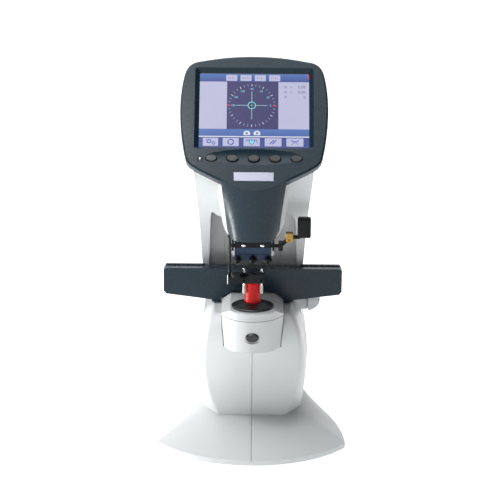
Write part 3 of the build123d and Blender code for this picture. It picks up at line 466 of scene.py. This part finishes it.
def draw_dial(pic):
    """Axis dial with its ticks, numbers, crosshair and target."""
    cx, cy = pic.at(0.477, 0.432)
    for step in range(36):
        a = math.radians(step * 10)
        ray = Vector((math.cos(a), math.sin(a)))
        level = step in (0, 18)
        ink, width = (RED, 1.6 * MM) if level else (LINE if step % 3 else WHITE, 0.6 * MM)
        start, end = ray * 22.6 * MM, ray * 25.3 * MM
        pic.stroke((cx + start.x, cy + start.y), (cx + end.x, cy + end.y), width, 2, ink)
    for angle in range(0, 181, 30):
        a = math.radians(angle)
        spot = (cx + 19.6 * MM * math.cos(a), cy + 19.4 * MM * math.sin(a))
        pic.number(str(angle), spot, 2.3 * MM, 2, CYAN)
    reach = 16.4 * MM
    pic.stroke((cx - reach, cy), (cx + reach, cy), 1.0 * MM, 2, LINE)
    pic.stroke((cx, cy - reach), (cx, cy + reach), 1.0 * MM, 2, LINE)
    pic.disc((cx, cy), 3.4 * MM, 3, BLACK)
    pic.ring((cx, cy), 3.9 * MM, 0.9 * MM, 3, CYAN)
    pic.stroke((cx - 2 * MM, cy), (cx + 2 * MM, cy), 0.7 * MM, 4, LINE)
    pic.stroke((cx, cy - 2 * MM), (cx, cy + 2 * MM), 0.7 * MM, 4, LINE)


def draw_values(pic):
    """Measured values, as numbers only, and the two lens icons below."""
    for down, text in ((0.175, "0.00"), (0.245, "0.00"), (0.315, "0")):
        pic.number(text, pic.at(0.968, down), 3.4 * MM, 2, GREY, "RIGHT")
    for down in (0.175, 0.245):
        pic.number("+", pic.at(0.835, down), 3.0 * MM, 2, GREY)
    for down in (0.175, 0.245, 0.315):
        pic.ring(pic.at(0.785, down), 0.9 * MM, 0.5 * MM, 2, GREY, sides=16)
    for across in (0.434, 0.526):
        x, y = pic.at(across, 0.81)
        pic.polygon(circle((x, y - 0.8 * MM), 3.7 * MM, 20, 160, 16) + [(x - 3.4 * MM, y - 2.2 * MM),
                    (x + 3.4 * MM, y - 2.2 * MM)], 2, WHITE)
        pic.disc((x, y), 1.2 * MM, 3, GREY, 16)


def draw_gear(pic, x, y, radius):
    """Ring with eight teeth."""
    pic.ring((x, y), radius, radius * 0.5, 3, ICON, sides=24)
    for i in range(8):
        a = math.radians(i * 45)
        inner, outer = radius * 1.1, radius * 1.6
        pic.stroke((x + inner * math.cos(a), y + inner * math.sin(a)),
                   (x + outer * math.cos(a), y + outer * math.sin(a)), radius * 0.45, 3, ICON)


def draw_keys(pic):
    """The five tiles above the keys, each with its icon."""
    edges = ((0.037, 0.176), (0.217, 0.362), (0.406, 0.553), (0.597, 0.749), (0.793, 0.947))
    for left, right in edges:
        pic.rectangle(left, 0.876, right, 0.985, 2, PALE, 0.5 * MM)
    spots = [pic.at((left + right) / 2, 0.93) for left, right in edges]
    x, y = spots[0]
    draw_gear(pic, x - 1.8 * MM, y + 0.8 * MM, 1.8 * MM)
    draw_gear(pic, x + 3.2 * MM, y - 1.3 * MM, 1.4 * MM)
    x, y = spots[1]
    for start in (20, 140, 260):
        pic.ring((x, y), 2.9 * MM, 1.3 * MM, 3, ICON, start, start + 92, 12)
        a = math.radians(start + 104)
        pic.disc((x + 2.9 * MM * math.cos(a), y + 2.9 * MM * math.sin(a)), 0.9 * MM, 3, ICON, 3)
    x, y = spots[2]
    draw_spectacles(pic, x, y)
    x, y = spots[3]
    for dx in (-1.4, 1.2):
        low, high = (x + (dx - 2.2) * MM, y - 2.4 * MM), (x + (dx + 2.2) * MM, y + 2.6 * MM)
        pic.stroke(low, high, 1.1 * MM, 3, ICON)
    x, y = spots[4]
    pic.path([(x - 3.8 * MM, y + 2.4 * MM), (x - 2.4 * MM, y + 1.0 * MM), (x + 2.4 * MM, y + 1.0 * MM),
              (x + 3.8 * MM, y + 2.4 * MM)], 0.9 * MM, 3, ICON)
    for side in (-1, 1):
        inner, outer = (x + side * 1.4 * MM, y - 0.6 * MM), (x + side * 3.6 * MM, y - 2.8 * MM)
        pic.stroke(inner, outer, 0.6 * MM, 3, GREY)
    pic.stroke((x - 1.8 * MM, y - 0.4 * MM), (x + 1.8 * MM, y - 0.4 * MM), 0.6 * MM, 3, ICON)


def draw_spectacles(pic, x, y):
    """Half a spectacle frame with one lens and a red mark."""
    rim = [(-5.6, 2.4), (5.4, 2.4)]
    pic.path([(x + u * MM, y + v * MM) for u, v in rim], 0.9 * MM, 3, ICON)
    lens = [(-2.7, 2.0), (-2.5, -0.6), (-1.0, -2.6), (1.0, -2.6), (2.5, -0.6), (2.7, 2.0)]
    pic.polygon([(x + u * MM, y + v * MM) for u, v in lens], 3, CYAN)
    pic.path([(x + u * MM, y + v * MM) for u, v in lens], 0.6 * MM, 4, ICON)
    pic.stroke((x - 0.5 * MM, y + 1.0 * MM), (x + 0.6 * MM, y - 1.2 * MM), 0.5 * MM, 4, RED)
    arm = [(5.4, 2.4), (5.2, 0.4), (6.4, -1.6)]
    pic.path([(x + u * MM, y + v * MM) for u, v in arm], 0.6 * MM, 3, ICON)
    pic.path([(x - 5.6 * MM, y + 2.4 * MM), (x - 5.2 * MM, y + 0.6 * MM)], 0.7 * MM, 3, ICON)


def make_display():
    """The picture as one piece on the base, over the display panel."""
    pic = Picture()
    draw_background(pic)
    draw_dial(pic)
    draw_values(pic)
    draw_keys(pic)
    piece("display_picture", pic.mesh("display_picture"), make_inks(), "base")


# --------------------------------------------------------------------------
# Small fittings
# --------------------------------------------------------------------------
def screw_profile(radius, height, dome):
    """Domed head: a short cylinder with a rounded top."""
    profile = [(radius, 0.0), (radius, height)]
    for i in range(1, 7):
        a = math.radians(15 * i)
        profile.append((radius * math.cos(a), height + dome * math.sin(a)))
    profile[-1] = (0.0, height + dome)
    return profile


def socket_profile(radius, height, hole, depth):
    """Cap screw with a round recess in its head."""
    rim = 0.12 * MM
    return [(radius, 0.0), (radius, height - rim), (radius - rim, height), (hole, height),
            (hole, height - depth), (0.0, height - depth - hole * 0.4)]


def add_pilot_lamp(finishes):
    """Small round window beside the keys: dark collar and a bright metal dome."""
    spot = FACE @ Vector((-55.8 * MM, 36.8 * MM, 0))
    collar = [(2.86 * MM, -2.4 * MM), (2.86 * MM, 0.05 * MM), (2.6 * MM, 0.3 * MM), (2.2 * MM, 0.3 * MM),
              (2.0 * MM, -0.5 * MM), (1.9 * MM, -1.6 * MM), (0.0, -1.9 * MM)]
    piece("pilot_collar", lathe("pilot_collar", collar, spot, FACE_OUT), [finishes["black_gloss"]], "base")
    radius, foot, rise = 1.95 * MM, -0.9 * MM, 1.5 * MM
    dome = [(radius, foot)]
    for degrees in range(0, 90, 15):
        a = math.radians(degrees)
        dome.append((radius * math.cos(a), foot + rise * math.sin(a)))
    dome.append((0.0, foot + rise))
    piece("pilot_lens", lathe("pilot_lens", dome, spot, FACE_OUT), [finishes["bright_pin"]], "base")


def add_marker_strap(finishes):
    """Black strap across the front of the marker block, over the shaft, with two bright domed screws."""
    low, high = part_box("marker_block")
    half, middle = (high.x - low.x) / 2, (high.x + low.x) / 2
    top, foot, cut = high.z - 0.3 * MM, high.z - 5.9 * MM, 1.2 * MM
    outline = [(middle - half, foot), (middle + half, foot), (middle + half, top - cut),
               (middle + half - cut, top), (middle - half + cut, top), (middle - half, top - cut)]
    thick = 0.7 * MM
    upright = Matrix(((1, 0, 0, 0), (0, 0, -1, low.y), (0, 1, 0, 0), (0, 0, 0, 1)))
    strap = slab("marker_strap", outline, thick, upright)
    soften(piece("marker_strap", strap, [finishes["black_matte"]], "marker"), 0.2 * MM)
    for side, sign in (("left", -1), ("right", 1)):
        spot = Vector((sign * 9.8 * MM, low.y - thick, high.z - 3.0 * MM))
        mesh = lathe("marker_screw_" + side, screw_profile(2.4 * MM, 0.35 * MM, 1.5 * MM), spot, (0, -1, 0))
        piece("marker_screw_" + side, mesh, [finishes["bright_pin"]], "marker")


def add_holder_fittings(finishes):
    """Bright end plate and two socket screws on the lens holder's block."""
    low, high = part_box("holder_block")
    thick = 0.9 * MM
    outline = [(-58, 181.2), (-50.2, 181.2), (-50.2, 188.4), (-52.2, 190.6), (-55.6, 190.6), (-58, 188.4)]
    across = Matrix(((0, 0, 1, low.x - thick), (1, 0, 0, 0), (0, 1, 0, 0), (0, 0, 0, 1)))
    plate = slab("holder_plate", [(y * MM, z * MM) for y, z in outline], thick, across)
    soften(piece("holder_plate", plate, [finishes["bright_pin"]], "holder"), 0.25 * MM)
    head = socket_profile(2.3 * MM, 0.9 * MM, 1.1 * MM, 0.8 * MM)
    for side, x in (("left", -9.2), ("right", 9.2)):
        spot = Vector((x * MM, low.y, 185.6 * MM))
        mesh = lathe("holder_screw_" + side, head, spot, (0, -1, 0))
        piece("holder_screw_" + side, mesh, [finishes["black_steel"]], "holder")


# --------------------------------------------------------------------------
# Light, floor and camera
# --------------------------------------------------------------------------
def make_floor():
    """Pale floor that rises into a backdrop far behind."""
    bm = bmesh.new()
    profile = [(-6.0, 0.0), (2.5, 0.0), (4.0, 0.0)]
    for i in range(1, 13):
        a = math.radians(i * 7.5)
        profile.append((4.0 + 1.2 * math.sin(a), 1.2 - 1.2 * math.cos(a)))
    profile.append((5.2, 4.0))
    rows = []
    for y, z in profile:
        rows.append([bm.verts.new((x, y, z)) for x in (-6.0, -2.0, 0.0, 2.0, 6.0)])
    for low, high in zip(rows, rows[1:]):
        for i in range(4):
            bm.faces.new((low[i], low[i + 1], high[i + 1], high[i]))
    mesh = bpy.data.meshes.new("floor")
    bm.to_mesh(mesh)
    bm.free()
    floor = bpy.data.objects.new("floor", mesh)
    SCENE.collection.objects.link(floor)
    paper = finish("floor_paper", srgb(250, 250, 250), (0.7, 0.8), (300.0, 0.02, 0.1), 0.004,
                   Emission_Color=(1, 1, 1, 1), Emission_Strength=0.6)
    floor.data.materials.append(paper)


def area_light(name, place, target, size, power):
    """White rectangular light aimed at a target, unseen by the camera; size in metres, power in watts."""
    data = bpy.data.lights.new(name, "AREA")
    data.shape = "RECTANGLE"
    data.size, data.size_y = size
    data.energy = power
    lamp = bpy.data.objects.new(name, data)
    lamp.location = place
    aim = Vector(target) - Vector(place)
    lamp.rotation_euler = aim.to_track_quat("-Z", "Y").to_euler()
    lamp.visible_camera = False
    SCENE.collection.objects.link(lamp)


def make_lights():
    """Dim sky and five lights: most from the left and above, with a little fill from the front."""
    world = bpy.data.worlds.new("studio")
    SCENE.world = world
    world.use_nodes = True
    background = world.node_tree.nodes["Background"]
    background.inputs["Color"].default_value = (0.94, 0.97, 1.0, 1.0)
    background.inputs["Strength"].default_value = 0.12
    area_light("key", (-1.6, -0.5, 0.5), (0, 0, 0.22), (0.6, 1.2), 1.2)
    area_light("low", (-0.5, -0.06, 0.05), (0, -0.05, 0.27), (0.08, 0.2), 2.0)
    area_light("face", (-0.19, -0.26, 0.80), (-0.05, -0.03, 0.35), (0.12, 0.12), 1.0)
    area_light("front", (-0.6, -2.0, 0.6), (0, 0, 0.2), (1.4, 0.9), 2.6)
    area_light("top", (-0.5, 0.2, 2.3), (0, 0.0, 0.1), (2.4, 2.4), 50)


def make_flag():
    """Dark card beside the object, out of the picture, that keeps its right side in shade."""
    bm = bmesh.new()
    rows = []
    for y in (-0.9, -0.4, 0.1, 0.6):
        bulge = 0.34 + 0.12 * (y + 0.15) ** 2
        rows.append([bm.verts.new((bulge, y, z)) for z in (0.13, 0.9)])
    for left, right in zip(rows, rows[1:]):
        bm.faces.new((left[0], right[0], right[1], left[1]))
    mesh = bpy.data.meshes.new("flag")
    bm.to_mesh(mesh)
    bm.free()
    flag = bpy.data.objects.new("flag", mesh)
    SCENE.collection.objects.link(flag)
    flag.data.materials.append(finish("flag_cloth", srgb(30, 30, 32), (0.8, 0.9), (600.0, 0.1, 0.3), 0.05))
    flag.visible_camera = False
    flag.visible_shadow = False


def make_camera():
    """Camera a little above the display, looking down at the middle of the body."""
    look_down = math.radians(15.5)
    aim = Vector((0, math.cos(look_down), -math.sin(look_down)))
    data = bpy.data.cameras.new("camera")
    data.sensor_width = 36.0
    data.lens = 147.3
    data.shift_x = -0.0036
    data.clip_start, data.clip_end = 0.05, 60
    camera = bpy.data.objects.new("camera", data)
    camera.location = Vector((-0.0013, 0, 0.2026)) - aim * 2.2
    camera.rotation_mode = "QUATERNION"
    roll = Matrix.Rotation(math.radians(-0.5), 3, aim)
    camera.rotation_quaternion = (roll @ aim.to_track_quat("-Z", "Y").to_matrix()).to_quaternion()
    SCENE.collection.objects.link(camera)
    SCENE.camera = camera
    SCENE.view_settings.view_transform = "Standard"
    SCENE.view_settings.look = "None"


# --------------------------------------------------------------------------
# Build
# --------------------------------------------------------------------------
def paint_nodes(finishes):
    """The finish of its slot on every CAD node."""
    for row in frame["record"]["subparts"]:
        node = NODES[row["node"]]
        node.data.materials.clear()
        node.data.materials.append(finishes[row["material_slot"]])
        for face in node.data.polygons:
            face.material_index = 0


def main():
    finishes = make_finishes()
    paint_nodes(finishes)
    make_display()
    add_pilot_lamp(finishes)
    add_marker_strap(finishes)
    add_holder_fittings(finishes)
    make_floor()
    make_lights()
    make_flag()
    make_camera()


main()
